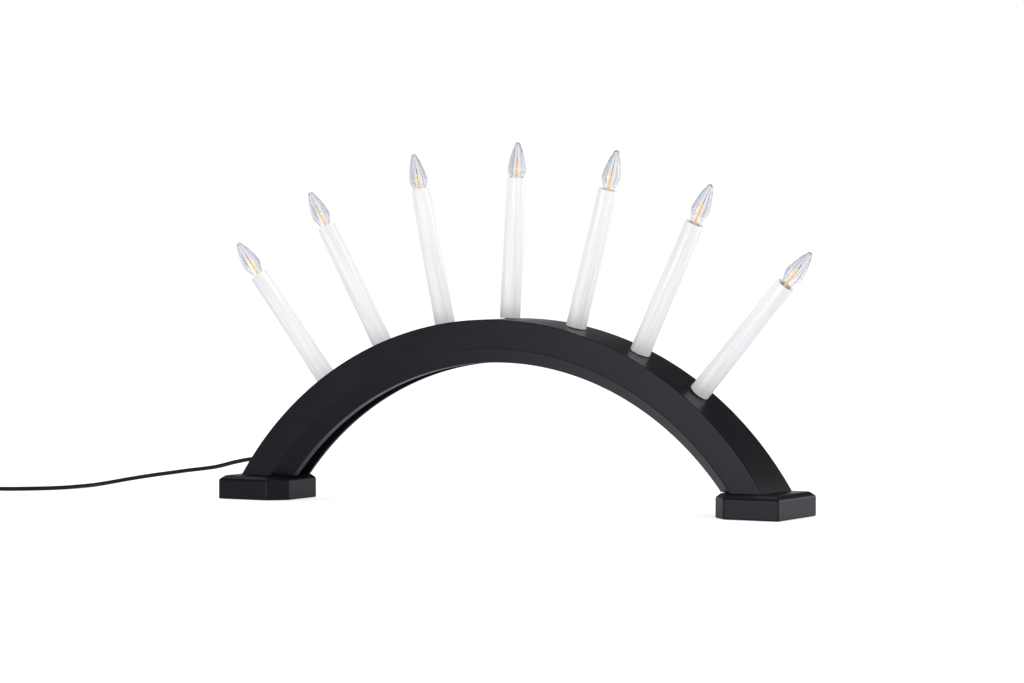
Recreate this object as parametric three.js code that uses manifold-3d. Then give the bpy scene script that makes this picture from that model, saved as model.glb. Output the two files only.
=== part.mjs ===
// Electric Advent candle arch: a bent, black-lacquered timber on two block feet carries seven candle
// sleeves, each with a small screw-in bulb, and a thin mains cord leaves from the back of the left leg.
// Millimetres, +Z up, the front towards -Y. The origin is on the floor, midway between the feet.

import * as THREE from 'three';
import { mergeVertices } from 'three/addons/utils/BufferGeometryUtils.js';
import Module from 'manifold-3d';

const wasm = await Module();
wasm.setup();

// Clearances
const restGap = 0.3;            // between pieces that touch
const runningGap = 0.45;        // round pieces that turn or slide

// Arch: constant section bent on a circular arc
const archOuterRadius = 275;
const archCentreDrop = 127.3;   // depth of the arc's centre below the floor
const archDepth = 52;           // front to back
const archThickness = 34;       // outer face to underside
const bevelAcross = 12.8;       // inner edge bevel, along the depth
const bevelHeight = 11.4;       // inner edge bevel, along the thickness
const frontRim = 8.3;           // underside in front of the wiring groove
const rearRim = 3.3;            // underside behind it
const grooveDepth = 20;
const archStep = THREE.MathUtils.degToRad(2);

// Feet: blocks with clipped inner corners and a bevelled upper edge
const footToe = 16.6;           // beyond the leg, outwards
const footHeel = 1;             // beyond the leg, inwards
const footDepth = 67.6;
const footHeight = 19;
const footClip = 13;
const footBevelAcross = 4;
const footBevelHeight = 3.1;

// Foot screws: two for each foot, countersunk from below
const screwRadius = 1.9;
const screwHeadRadius = 3.8;
const screwHeadDepth = 2.6;
const screwSink = 1.5;
const screwBite = 20;           // length inside the leg

// Candles: an even fan, where each one leans a little off the radius and each bulb's widest place stands at
// its own height above the sleeve
const candlePitch = THREE.MathUtils.degToRad(12.29);
const candleLean = [-1.2, -4.9, 0.2, 3, 2.4, 0.6, 4.2].map(THREE.MathUtils.degToRad);
const bulbStand = [12.1, 10.7, 7.1, 5.9, 9.8, 11, 10.5];
const sleeveLength = 110;
const sleeveFlare = 0.95;       // wider at the base than at the mouth
const sleeveWall = 1;

// Lampholder: flanged stem let into the arch, with a socket on top
const stemRadius = 4.2;
const stemTail = 2;             // length that reaches into the groove
const flangeHeight = 1.6;
const holderWall = 0.65;
const guideRadius = 1.7;        // bore for the contact's shank and the wires
const socketRim = 2.4;          // above the top of the bulb's cap, round the glass
const mouthSet = 0.6;           // of that rim below the sleeve's mouth, at least

// Bulb: E10 screw cap, fluted flame-shaped glass, one straight filament
const capRadius = 4.75;
const capLength = 9.5;
const capChamfer = 1;
const nibRadius = 1.9;
const nibLength = 1.8;
const glassLength = 35;
const glassRadius = 7.15;
const glassShoulder = 21.6;     // from the tip to the widest place
const neckRadius = 4.3;
const neckLength = 3.5;
const glassTipRadius = 1.4;
const glassTipRound = 1.2;      // length of the rounded end
const glassWall = 0.8;
const fluteCount = 10;
const fluteDepth = 0.5;
const mountRadius = 1.7;
const mountLength = 3.6;
const filamentRadius = 1.1;
const filamentLength = 15.2;
const wireRadius = 0.3;
const wireLength = 4.2;

// Centre contact: a sprung button on a shank
const buttonRadius = 3;
const buttonHeight = 1.2;
const shankRadius = 1.2;
const shankLength = 6;

// Wiring loom: from the cord grip into the groove and along it, past the lampholders' stems
const loomRadius = 1.5;
const loomEntry = 25;           // from the leg's rear face, along the outlet
const loomStart = THREE.MathUtils.degToRad(-46.5);
const loomPast = THREE.MathUtils.degToRad(3);      // beyond the last candle

// Cord grip: a tapered strain relief in an oblique hole through the back of the left leg
const outletInset = 11;         // from the arch's outer face
const outletZ = 29.5;
const outletTurn = THREE.MathUtils.degToRad(41);   // off the +Y direction, towards the left
const gripRadius = 3.2;
const gripSeat = 14;            // length inside the hole
const gripShoulder = 5;         // where the taper starts, clear of the slanted hole's mouth
const gripTail = 24;
const gripEndRadius = 2.4;

// Cord: free stretch, coil for the put-away length, and tail to the plug
const cordRadius = 1.7;
const cordRoute = [
  [-234, 51, 29.3], [-248, 57.5, 28.4], [-264, 60, 27.3], [-280, 61.5, 25.9], [-300, 68, 22.5], [-326, 77, 17.1],
  [-358, 82, 12.8], [-375, 82, 10.3], [-390, 80, 8.1], [-403.5, 75, 5.8], [-412.5, 66, 3.9], [-417.5, 53, 2.4],
  [-417.5, 35, 1.8], [-416.5, 14, 1.8], [-421, -13, 1.8], [-436, -34, 1.8], [-456, -49, 1.9],
];
const coilCentre = [-497, -46];
const coilHeading = THREE.MathUtils.degToRad(-143.5);   // direction in which the cord arrives
const coilInnerRadius = 14.5;
const coilLayers = 4;
const coilTurns = 11.25;
const turnGap = 0.55;           // between neighbouring turns and layers
const stepsPerTurn = 24;
const tailLength = 42;

// Tie round the coil
const tieThickness = 0.8;
const tieWidth = 6;
const tieAngle = THREE.MathUtils.degToRad(-233.5);

// Plug: flat two-pin body with a tapered strain relief
const plugWidth = 33;
const plugThickness = 13.7;
const plugShoulder = 15;        // length of the full-width part
const plugFlare = 6;            // length over which it widens
const plugWaistWidth = 20;
const plugWaistThickness = 13;
const plugNeckWidth = 15;
const plugNeckThickness = 11;
const plugLength = 34;
const plugReliefLength = 22;
const plugReliefRadius = 2.5;
const plugReliefFlare = 1.2;    // wider where it meets the body
const pinRadius = 2;
const pinLength = 19;
const pinSpacing = 18.6;
const pinSeat = 5;
const pinTaper = 1.5;

// Materials
const finish = (color, roughness, metalness = 0) => new THREE.MeshStandardMaterial({ color, roughness, metalness });
const lacquer = () => finish(0x1b1b1e, 0.45);
const sleevePlastic = () => finish(0xf2f0ef, 0.4);
const holderPlastic = () => finish(0xe6dcc6, 0.5);
const brass = () => finish(0xc9a45c, 0.35, 1);
const steel = () => finish(0xb5b7ba, 0.35, 1);
const pvc = () => finish(0x17171a, 0.5);
const phosphor = () => finish(0xf0b04a, 0.6);
const clearGlass = () => {
  const material = finish(0xeef0f4, 0.05);
  material.transparent = true;
  material.opacity = 0.35;
  return material;
};

// Derived sizes
const archCentreZ = -archCentreDrop;
const footHalfDepth = footDepth / 2;
const legEndZ = footHeight + restGap;
const grooveCeiling = archOuterRadius - archThickness + grooveDepth;
const undersideHalf = archDepth / 2 - bevelAcross;
const grooveFront = frontRim - undersideHalf;
const grooveRear = undersideHalf - rearRim;
const grooveMiddle = (grooveFront + grooveRear) / 2;
const legX = (radius, z) => Math.sqrt(radius ** 2 - (z + archCentreDrop) ** 2);
const legOuterX = legX(archOuterRadius, footHeight);
const legInnerX = legX(archOuterRadius - archThickness, footHeight);
const footOuterX = legOuterX + footToe;
const footInnerX = legInnerX - footHeel;
const screwX = (legOuterX + legInnerX) / 2;
const screwY = (archDepth / 2 + grooveRear) / 2;
const outletX = -legX(archOuterRadius - outletInset, outletZ);
const socketRadius = capRadius + runningGap;
const columnRadius = socketRadius + holderWall;
const sleeveTopRadius = columnRadius + restGap + sleeveWall;
const sleeveBaseRadius = sleeveTopRadius + sleeveFlare;
const turnPitch = 2 * cordRadius + turnGap;
const coilRise = turnPitch * coilTurns / coilLayers;
const coilOuterRadius = coilInnerRadius + coilRise;
const coilFloor = cordRadius + tieThickness + restGap;

// Closed geometry with shared vertices and no collapsed triangles
function closed(geometry) {
  geometry.deleteAttribute('normal');
  geometry.deleteAttribute('uv');
  const merged = mergeVertices(geometry, 1e-4);
  const kept = [];
  for (let i = 0; i < merged.index.count; i += 3) {
    const [a, b, c] = [0, 1, 2].map((k) => merged.index.getX(i + k));
    if (a !== b && b !== c && c !== a) kept.push(a, b, c);
  }
  merged.setIndex(kept);
  return merged;
}

function solid(geometry) {
  const vertProperties = new Float32Array(geometry.attributes.position.array);
  const triVerts = new Uint32Array(geometry.index.array);
  return new wasm.Manifold(new wasm.Mesh({ numProp: 3, vertProperties, triVerts }));
}

function geometryOf(manifold) {
  const mesh = manifold.getMesh();
  const geometry = new THREE.BufferGeometry();
  geometry.setAttribute('position', new THREE.BufferAttribute(new Float32Array(mesh.vertProperties), 3));
  geometry.setIndex(Array.from(mesh.triVerts));
  return geometry;
}

// Revolved about +Z from [radius, height] points, outside going up
function revolve(profile, segments) {
  const points = profile.map(([r, z]) => new THREE.Vector2(r, z));
  return closed(new THREE.LatheGeometry(points, segments).rotateX(Math.PI / 2));
}

const ring = (profile, segments) => revolve([...profile, profile[0]], segments);
const rod = (radius, from, to, segments) => revolve([[0, from], [radius, from], [radius, to], [0, to]], segments);

// Round section swept along a curve
function tube(curve, radius, sides, steps) {
  const corners = Array.from({ length: sides }, (_, i) => {
    const turn = 2 * Math.PI * i / sides;
    return new THREE.Vector2(radius * Math.cos(turn), radius * Math.sin(turn));
  });
  const options = { steps, extrudePath: curve, bevelEnabled: false };
  return closed(new THREE.ExtrudeGeometry(new THREE.Shape(corners), options));
}

// Skin over a stack of rings with equal counts, closed by a fan at each end
function loft(rings) {
  const count = rings[0].length;
  const middle = (points) => points.reduce((sum, p) => sum.add(p), new THREE.Vector3()).divideScalar(count);
  const vertices = [...rings.flat(), middle(rings[0]), middle(rings.at(-1))];
  const bottom = rings.length * count;
  const top = bottom + 1;
  const index = [];
  for (let j = 0; j < count; j += 1) {
    const next = (j + 1) % count;
    for (let i = 0; i + 1 < rings.length; i += 1) {
      const [a, b] = [i * count + j, i * count + next];
      const [c, d] = [a + count, b + count];
      index.push(a, b, d, a, d, c);
    }
    index.push(bottom, next, j, top, bottom - count + j, bottom - count + next);
  }
  const geometry = new THREE.BufferGeometry().setFromPoints(vertices);
  geometry.setIndex(index);
  return geometry;
}

const part = new THREE.Group();

function place(name, geometry, material, parent = part) {
  const mesh = new THREE.Mesh(geometry, material);
  mesh.name = name;
  parent.add(mesh);
  return mesh;
}

// Line along the arch at a given radius and depth
class ArchLine extends THREE.Curve {
  constructor(radius, y, from, to) {
    super();
    Object.assign(this, { radius, y, from, to });
  }

  getPoint(t, target = new THREE.Vector3()) {
    const angle = THREE.MathUtils.lerp(this.from, this.to, t);
    return target.set(this.radius * Math.sin(angle), this.y, archCentreZ + this.radius * Math.cos(angle));
  }
}

// Candle frame: origin on the outer face above the middle of the groove, +Z along the candle
function candleFrame(i) {
  const fan = (i - (candleLean.length - 1) / 2) * candlePitch;
  const group = new THREE.Group();
  group.position.copy(new ArchLine(archOuterRadius, grooveMiddle, fan, fan).getPoint(0));
  group.rotation.y = fan + candleLean[i];
  group.updateMatrix();
  return group;
}

const candleFrames = candleLean.map((_, i) => candleFrame(i));

// Heights along each candle: its base, clear of the arch on the side that it leans to, the bulb's tip and
// the top of the bulb's cap
const seatHeight = candleLean.map((lean) => sleeveBaseRadius * Math.sin(Math.abs(lean)) + restGap);
const tipHeight = bulbStand.map((stand, i) => seatHeight[i] + sleeveLength + stand + glassShoulder);
const capHeight = tipHeight.map((tip) => tip - glassLength);

// Arch: section in [towards the front, down from the outer face]
function archSection() {
  const half = archDepth / 2;
  const face = archThickness - bevelHeight;
  const ceiling = archThickness - grooveDepth;
  return [
    [half, 0], [-half, 0], [-half, face], [-undersideHalf, archThickness], [-grooveRear, archThickness],
    [-grooveRear, ceiling], [-grooveFront, ceiling], [-grooveFront, archThickness], [undersideHalf, archThickness],
    [half, face],
  ].map(([x, y]) => new THREE.Vector2(x, y));
}

function block(size, centre) {
  return solid(closed(new THREE.BoxGeometry(...size).translate(...centre)));
}

function outletFrame() {
  const frame = new THREE.Object3D();
  frame.position.set(outletX, archDepth / 2, outletZ);
  frame.rotation.order = 'ZXY';
  frame.rotation.set(-Math.PI / 2, 0, outletTurn);
  frame.updateMatrix();
  return frame;
}

function screwProfile(gap) {
  const neck = screwHeadRadius + gap;
  const shank = screwRadius + gap;
  const tip = footHeight + restGap + screwBite + gap;
  const head = screwSink - gap;
  return [[0, head], [neck, head], [shank, head + screwHeadDepth], [shank, tip - screwRadius], [0, tip]];
}

const screwPlaces = [-screwX, screwX].flatMap((x) => [-screwY, screwY].map((y) => [x, y]));

function archGeometry() {
  const legAngle = Math.acos((footHeight + archCentreDrop) / archOuterRadius) + archStep;
  const steps = Math.ceil(2 * legAngle / archStep);
  const line = new ArchLine(archOuterRadius, 0, -legAngle, legAngle);
  const options = { steps, extrudePath: line, bevelEnabled: false };
  const bar = solid(closed(new THREE.ExtrudeGeometry(new THREE.Shape(archSection()), options)));
  const wide = 4 * archOuterRadius;
  let arch = bar.intersect(block([wide, wide, wide], [0, 0, legEndZ + wide / 2]));

  const bore = rod(stemRadius + restGap, -2 * archThickness, archThickness, 14);
  for (const frame of candleFrames) arch = arch.subtract(solid(bore.clone().applyMatrix4(frame.matrix)));
  const outlet = rod(gripRadius + restGap, -loomEntry, archDepth, 12);
  arch = arch.subtract(solid(outlet.applyMatrix4(outletFrame().matrix)));
  for (const [x, y] of screwPlaces) {
    arch = arch.subtract(solid(revolve(screwProfile(restGap), 8).translate(x, y, 0)));
  }
  return geometryOf(arch);
}

place('arch', archGeometry(), lacquer());

// Feet
function footOutline(inset, z, side) {
  const diagonal = footClip + inset * (Math.SQRT2 - 1);
  const [out, inn, half] = [footOuterX - inset, footInnerX + inset, footHalfDepth - inset];
  const corner = footInnerX + diagonal;
  const flank = footHalfDepth - diagonal;
  const points = [[out, -half], [out, half], [corner, half], [inn, flank], [inn, -flank], [corner, -half]];
  const outline = points.map(([x, y]) => new THREE.Vector3(side * x, y, z));
  return side > 0 ? outline : outline.reverse();
}

function footGeometry(side) {
  const rings = [
    footOutline(0, 0, side),
    footOutline(0, footHeight - footBevelHeight, side),
    footOutline(footBevelAcross, footHeight, side),
  ];
  let foot = solid(loft(rings));
  for (const [x, y] of screwPlaces.filter(([px]) => px * side > 0)) {
    const mouth = rod(screwHeadRadius + restGap, -screwSink, screwSink, 8);
    const sunk = solid(mouth).add(solid(revolve(screwProfile(restGap), 8)));
    foot = foot.subtract(sunk.translate([x, y, 0]));
  }
  return geometryOf(foot);
}

place('left_foot', footGeometry(-1), lacquer());
place('right_foot', footGeometry(1), lacquer());

const screwNames = ['left_front', 'left_rear', 'right_front', 'right_rear'];
screwPlaces.forEach(([x, y], i) => {
  place(`foot_screw_${screwNames[i]}`, revolve(screwProfile(0), 8).translate(x, y, 0), steel());
});

// Candle sleeve: tapered tube
function sleeveGeometry() {
  const [base, top] = [sleeveBaseRadius, sleeveTopRadius];
  return ring([
    [base, 0], [top, sleeveLength], [top - sleeveWall, sleeveLength], [base - sleeveWall, 0],
  ], 20);
}

// Lampholder, from its tail in the groove to the rim of the socket
function holderGeometry(i) {
  const seat = seatHeight[i];
  const rim = Math.min(capHeight[i] + socketRim, seat + sleeveLength - mouthSet);
  const floor = capHeight[i] - capLength - nibLength - 2 * restGap - buttonHeight;
  const tail = grooveCeiling - archOuterRadius - stemTail;
  const collar = seat + flangeHeight;
  const flange = sleeveBaseRadius - sleeveFlare * flangeHeight / sleeveLength - sleeveWall - 2 * restGap;
  return ring([
    [guideRadius, tail], [stemRadius, tail], [stemRadius, seat], [flange, seat], [flange, collar],
    [columnRadius, collar], [columnRadius, rim], [socketRadius, rim], [socketRadius, floor], [guideRadius, floor],
  ], 14);
}

function contactGeometry(i) {
  const top = capHeight[i] - capLength - nibLength - restGap;
  const button = top - buttonHeight;
  return revolve([
    [0, button - shankLength], [shankRadius, button - shankLength], [shankRadius, button], [buttonRadius, button],
    [buttonRadius, top], [0, top],
  ], 10);
}

// Screw cap with its insulator and centre nib
function capGeometry(i) {
  const top = capHeight[i] - restGap;
  const low = capHeight[i] - capLength;
  const nib = low - nibLength;
  return revolve([
    [0, nib], [nibRadius, nib], [nibRadius, nib + nibLength / 2], [capRadius - capChamfer, low],
    [capRadius, low + capChamfer], [capRadius, top], [0, top],
  ], 12);
}

// Outside radius of the glass at a distance below its tip
function glassOutline(t) {
  const rise = 1 - Math.max(0, 1 - t / glassShoulder) ** 1.55;
  if (t <= glassShoulder) return THREE.MathUtils.lerp(glassTipRadius, glassRadius, rise);
  const fall = Math.min(1, (t - glassShoulder) / (glassLength - neckLength - glassShoulder));
  return THREE.MathUtils.lerp(neckRadius, glassRadius, (1 + Math.cos(Math.PI * fall)) / 2);
}

function glassGeometry(i) {
  const tip = tipHeight[i];
  const belly = glassLength - neckLength - glassShoulder;
  const below = (share) => glassShoulder + share * belly;
  const above = (share) => glassShoulder * share;
  const stations = [glassLength, below(1), below(0.72), below(0.4), glassShoulder, above(0.65), above(0.3), glassTipRound, 0];
  const outside = stations.map((t) => Array.from({ length: 2 * fluteCount }, (_, j) => {
    const turn = Math.PI * j / fluteCount;
    const depth = t < glassLength ? fluteDepth * glassOutline(t) / glassRadius : 0;
    const r = glassOutline(t) * (t > 0 ? 1 : 0.5) - (j % 2 ? depth : 0);
    return new THREE.Vector3(r * Math.cos(turn), r * Math.sin(turn), tip - t);
  }));
  const skin = glassWall + fluteDepth;
  const inside = [glassLength + 1, below(1), below(0.55), glassShoulder, above(0.5)];
  const cavity = inside.map((t) => [glassOutline(t) - skin, tip - t]);
  const hollow = revolve([[0, cavity[0][1]], ...cavity, [0, tip - above(0.15)]], 10);
  return geometryOf(solid(loft(outside)).subtract(solid(hollow)));
}

// Filament with its mount below and its wire tip above
function filamentGeometry(i) {
  const base = capHeight[i];
  const low = base + mountLength;
  const top = low + filamentLength;
  const wire = top + wireLength;
  return revolve([
    [0, base], [mountRadius, base], [mountRadius, low], [filamentRadius, low], [filamentRadius, top],
    [wireRadius, top], [wireRadius, wire], [0, wire],
  ], 6);
}

candleFrames.forEach((frame, i) => {
  const n = i + 1;
  part.add(frame);
  const sleeve = place(`candle_sleeve_${n}`, sleeveGeometry(), sleevePlastic(), frame);
  sleeve.position.z = seatHeight[i];
  place(`lampholder_${n}`, holderGeometry(i), holderPlastic(), frame);
  place(`centre_contact_${n}`, contactGeometry(i), brass(), frame);
  place(`bulb_cap_${n}`, capGeometry(i), brass(), frame);
  place(`bulb_glass_${n}`, glassGeometry(i), clearGlass(), frame);
  place(`bulb_filament_${n}`, filamentGeometry(i), phosphor(), frame);
});

// Point on the axis of the cord's outlet, from the leg's rear face outwards
const onOutlet = (s) => new THREE.Vector3(0, 0, s).applyMatrix4(outletFrame().matrix);

// Wiring loom, close under the stems' ends
const steepest = Math.max(...candleLean.map(Math.abs));
const loomArc = new ArchLine(
  grooveCeiling - stemTail - stemRadius * Math.sin(steepest) - restGap - loomRadius,
  grooveMiddle,
  loomStart,
  (candleLean.length - 1) / 2 * candlePitch + loomPast,
);
const loomLine = new THREE.CatmullRomCurve3([
  onOutlet(-gripSeat - restGap), onOutlet(-loomEntry), ...loomArc.getPoints(15),
]);
place('wiring_loom', tube(loomLine, loomRadius, 8, 40), pvc());

// Cord grip
const grip = place('cord_grip', revolve([
  [0, -gripSeat], [gripRadius, -gripSeat], [gripRadius, gripShoulder], [gripEndRadius, gripTail], [0, gripTail],
], 12), pvc());
grip.applyMatrix4(outletFrame().matrix);

// Coil: loops that spiral in and out, one layer for each way, climbing where the spiral turns back
function coilPoint(turns) {
  const perLayer = coilTurns / coilLayers;
  const along = turns / perLayer;
  const layer = Math.min(coilLayers - 1, Math.floor(along));
  const share = along - layer;
  const radius = coilInnerRadius + coilRise * (layer % 2 ? share : 1 - share);
  let climb = layer;
  for (const turnBack of [layer, layer + 1]) {
    const away = turns - turnBack * perLayer;
    const inner = turnBack > 0 && turnBack < coilLayers;
    if (inner && Math.abs(away) < 0.25) climb = turnBack - 0.5 + 2 * away;
  }
  const angle = coilHeading + Math.PI / 2 - 2 * Math.PI * turns;
  return { radius, angle, z: coilFloor + turnPitch * climb };
}

function coilCentreline() {
  const steps = Math.round(coilTurns * stepsPerTurn);
  const turned = Array.from({ length: steps + 1 }, (_, k) => {
    const { radius, angle, z } = coilPoint(coilTurns * k / steps);
    const out = new THREE.Vector3(Math.cos(angle), Math.sin(angle), 0);
    return { out, at: out.clone().multiplyScalar(radius).add(new THREE.Vector3(...coilCentre, z)) };
  });
  const heading = (out) => new THREE.Vector3(out.y, -out.x, 0);
  const straight = (end, way) => ({ out: end.out, at: end.at.clone().addScaledVector(heading(end.out), way) });
  return [straight(turned[0], -2 * cordRadius), ...turned, straight(turned.at(-1), 2 * cordRadius)];
}

function leastGap(stations) {
  let least = Infinity;
  const near = stepsPerTurn / 2;
  for (let i = 0; i < stations.length; i += 1) {
    for (let j = i + near; j < stations.length; j += 1) {
      least = Math.min(least, stations[i].at.distanceTo(stations[j].at));
    }
  }
  return least - 2 * cordRadius;
}

const up = new THREE.Vector3(0, 0, 1);
const coilStations = coilCentreline();
console.log(`least gap between the coil's turns: ${leastGap(coilStations).toFixed(2)} mm`);
place('cord_coil', loft(coilStations.map(({ out, at }) => Array.from({ length: 6 }, (_, k) => {
  const turn = Math.PI * k / 3;
  return at.clone().addScaledVector(out, cordRadius * Math.cos(turn)).addScaledVector(up, cordRadius * Math.sin(turn));
}))), pvc());

// Free stretch, from the grip to the coil
const coilStart = coilStations[0].at;
const arrival = new THREE.Vector3(Math.cos(coilHeading), Math.sin(coilHeading), 0);
const freeLine = new THREE.CatmullRomCurve3([
  onOutlet(gripTail + restGap), onOutlet(gripTail + 3 * cordRadius),
  ...cordRoute.map((p) => new THREE.Vector3(...p)),
  coilStart.clone().addScaledVector(arrival, -5 * cordRadius), coilStart.clone().addScaledVector(arrival, -restGap),
]);
place('cord', tube(freeLine, cordRadius, 8, 48), pvc());

// Tail from the coil's last turn down to the plug
const coilEnd = coilStations.at(-1);
const leaving = new THREE.Vector3(coilEnd.out.y, -coilEnd.out.x, 0);
const plugAxisZ = plugThickness / 2;
const tailPoints = Array.from({ length: 7 }, (_, k) => {
  const share = k / 6;
  const point = coilEnd.at.clone().addScaledVector(leaving, restGap + tailLength * share);
  point.z = THREE.MathUtils.lerp(coilEnd.at.z, plugAxisZ, THREE.MathUtils.smoothstep(share, 0, 1));
  return point;
});
place('cord_tail', tube(new THREE.CatmullRomCurve3(tailPoints), cordRadius, 8, 8), pvc());

// Tie: a band round the coil's turns
function tieGeometry() {
  const gap = restGap + tieThickness;
  const inner = coilInnerRadius - cordRadius - restGap;
  const outer = coilOuterRadius + cordRadius + restGap;
  const top = coilFloor + turnPitch * (coilLayers - 1) + cordRadius + restGap;
  const band = (grow, low) => new THREE.Shape([
    [inner - grow, low], [outer + grow, low], [outer + grow, top + grow], [inner - grow, top + grow],
  ].map(([x, y]) => new THREE.Vector2(x, y)));
  const shape = band(tieThickness, coilFloor - cordRadius - gap);
  shape.holes.push(band(0, coilFloor - cordRadius - restGap));
  const geometry = new THREE.ExtrudeGeometry(shape, { depth: tieWidth, bevelEnabled: false });
  return closed(geometry.translate(0, 0, -tieWidth / 2).rotateX(Math.PI / 2));
}

const tie = place('cord_tie', tieGeometry(), pvc());
tie.position.set(...coilCentre, 0);
tie.rotation.z = tieAngle;

// Plug, lying flat with its relief towards the tail
const plug = new THREE.Group();
plug.position.copy(tailPoints.at(-1)).addScaledVector(leaving, restGap);
plug.rotation.z = Math.atan2(leaving.y, leaving.x);
part.add(plug);

// Flattened round section across the plug's axis
function plugSection(along, width, thickness, power) {
  return Array.from({ length: 16 }, (_, k) => {
    const turn = 2 * Math.PI * k / 16;
    const bulge = (v) => Math.sign(v) * Math.abs(v) ** power;
    const across = bulge(Math.cos(turn)) * width / 2;
    return new THREE.Vector3(along, across, bulge(Math.sin(turn)) * thickness / 2);
  });
}

function plugGeometry() {
  const [square, soft, round] = [0.35, 0.55, 1];
  const relief = 2 * plugReliefRadius;
  const root = relief + 2 * plugReliefFlare;
  const front = plugReliefLength + plugLength;
  const shoulder = front - plugShoulder;
  const body = loft([
    plugSection(0, relief, relief, round),
    plugSection(plugReliefLength, root, root, round),
    plugSection(plugReliefLength, plugNeckWidth, plugNeckThickness, soft),
    plugSection(shoulder - plugFlare, plugWaistWidth, plugWaistThickness, soft),
    plugSection(shoulder, plugWidth, plugThickness, square),
    plugSection(front, plugWidth, plugThickness, square),
  ]);
  let moulding = solid(body);
  for (const side of [-1, 1]) {
    const socket = rod(pinRadius + restGap, -pinSeat, pinSeat, 10).rotateY(Math.PI / 2);
    moulding = moulding.subtract(solid(socket.translate(front, side * pinSpacing / 2, 0)));
  }
  return geometryOf(moulding);
}

place('plug_body', plugGeometry(), pvc(), plug);
['left', 'right'].forEach((name, k) => {
  const reach = pinSeat - restGap + pinLength;
  const pin = revolve([
    [0, 0], [pinRadius, 0], [pinRadius, reach - pinTaper], [pinRadius / 2, reach], [0, reach],
  ], 10);
  const mesh = place(`plug_pin_${name}`, pin.rotateY(Math.PI / 2), steel(), plug);
  mesh.position.set(plugReliefLength + plugLength - pinSeat + restGap, (k ? -1 : 1) * pinSpacing / 2, 0);
});

export default part;
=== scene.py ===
import math

import bmesh
import bpy
from mathutils import Matrix, Vector


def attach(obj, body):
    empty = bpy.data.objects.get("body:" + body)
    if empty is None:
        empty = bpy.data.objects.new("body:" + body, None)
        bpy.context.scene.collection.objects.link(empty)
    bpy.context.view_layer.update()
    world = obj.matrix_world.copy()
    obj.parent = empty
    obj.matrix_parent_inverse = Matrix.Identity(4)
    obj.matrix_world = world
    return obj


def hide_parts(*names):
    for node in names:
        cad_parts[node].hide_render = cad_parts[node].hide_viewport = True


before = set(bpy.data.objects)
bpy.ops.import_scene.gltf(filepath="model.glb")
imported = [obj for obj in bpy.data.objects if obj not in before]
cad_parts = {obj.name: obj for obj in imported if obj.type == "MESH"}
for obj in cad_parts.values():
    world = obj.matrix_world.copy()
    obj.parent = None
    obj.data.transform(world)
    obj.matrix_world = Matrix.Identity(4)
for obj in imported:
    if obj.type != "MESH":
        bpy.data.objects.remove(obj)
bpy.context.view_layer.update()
scene = bpy.context.scene
scene.view_settings.view_transform = "Standard"
mm = 0.001
sharpAngle = math.radians(40)  # edges that turn more than this stay crisp
colourA, colourB, colourOut = 6, 7, 2  # colour sockets of a Mix node
print("frame loaded with", len(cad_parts), "nodes")


def linear(hexColour):
    channels = [int(hexColour[i:i + 2], 16) / 255 for i in (1, 3, 5)]
    return tuple(c / 12.92 if c <= 0.04045 else ((c + 0.055) / 1.055) ** 2.4 for c in channels) + (1.0,)


def addNode(tree, kind, links=None, **settings):
    node = tree.nodes.new(kind)
    for name, value in settings.items():
        setattr(node, name, value)
    for socket, value in (links or {}).items():
        if isinstance(value, bpy.types.NodeSocket):
            tree.links.new(value, node.inputs[socket])
        else:
            node.inputs[socket].default_value = value
    return node


def newMaterial(name, sockets):
    material = bpy.data.materials.new(name)
    material.use_nodes = True
    shader = material.node_tree.nodes["Principled BSDF"]
    for socket, value in sockets.items():
        shader.inputs[socket].default_value = linear(value) if isinstance(value, str) else value
    return material, material.node_tree, shader


def addPiece(name, mesh, materials):
    piece = bpy.data.objects.new(name, mesh)
    scene.collection.objects.link(piece)
    for material in materials:
        mesh.materials.append(material)
    return piece


def bakeModifiers(piece):
    depsgraph = bpy.context.evaluated_depsgraph_get()
    mesh = bpy.data.meshes.new_from_object(piece.evaluated_get(depsgraph))
    piece.modifiers.clear()
    piece.data = mesh
    return piece


def settle(piece, body, slot, *nodes):
    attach(piece, body)
    if nodes:
        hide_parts(*nodes)
    return piece


def meshFrom(shell, name, sharpen=True):
    mesh = bpy.data.meshes.new(name)
    shell.to_mesh(mesh)
    shell.free()
    if sharpen:
        mesh.set_sharp_from_angle(angle=sharpAngle)
    return mesh


# Node group with a length input for each entry of a settings dictionary, and the inputs' identifiers
def newTree(name, lengths):
    tree = bpy.data.node_groups.new(name, "GeometryNodeTree")
    for way in ("INPUT", "OUTPUT"):
        tree.interface.new_socket("Geometry", in_out=way, socket_type="NodeSocketGeometry")
    keys = {}
    for label in lengths:
        socket = tree.interface.new_socket(label, in_out="INPUT", socket_type="NodeSocketFloat")
        keys[label] = socket.identifier
    return tree, keys


def closeTree(tree, geometry, material):
    real = addNode(tree, "GeometryNodeRealizeInstances", {"Geometry": geometry})
    dressed = addNode(tree, "GeometryNodeSetMaterial", {
        "Geometry": real.outputs[0], "Material": material})
    addNode(tree, "NodeGroupOutput", {0: dressed.outputs[0]})


# Plain mesh piece grown by a node group from lengths in millimetres and plain counts
def growPiece(name, tree, keys, lengths, counts=None):
    piece = addPiece(name, bpy.data.meshes.new(name), [])
    maker = piece.modifiers.new(name, "NODES")
    maker.node_group = tree
    for label, value in lengths.items():
        maker[keys[label]] = value * mm
    for label, value in (counts or {}).items():
        maker[keys[label]] = value
    return bakeModifiers(piece)


def between(start, end, share):
    return start + (end - start) * share


def easeInOut(share):
    return 3 * share ** 2 - 2 * share ** 3


# Camera, fitted to the picture together with the arch
cameraSetup = {
    "place": (1.4877, -2.66434, 0.22633), "yaw": 29.126, "pitch": -1.81,
    "lens": 137.01, "sensor": 36, "clip": 60,
}

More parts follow.
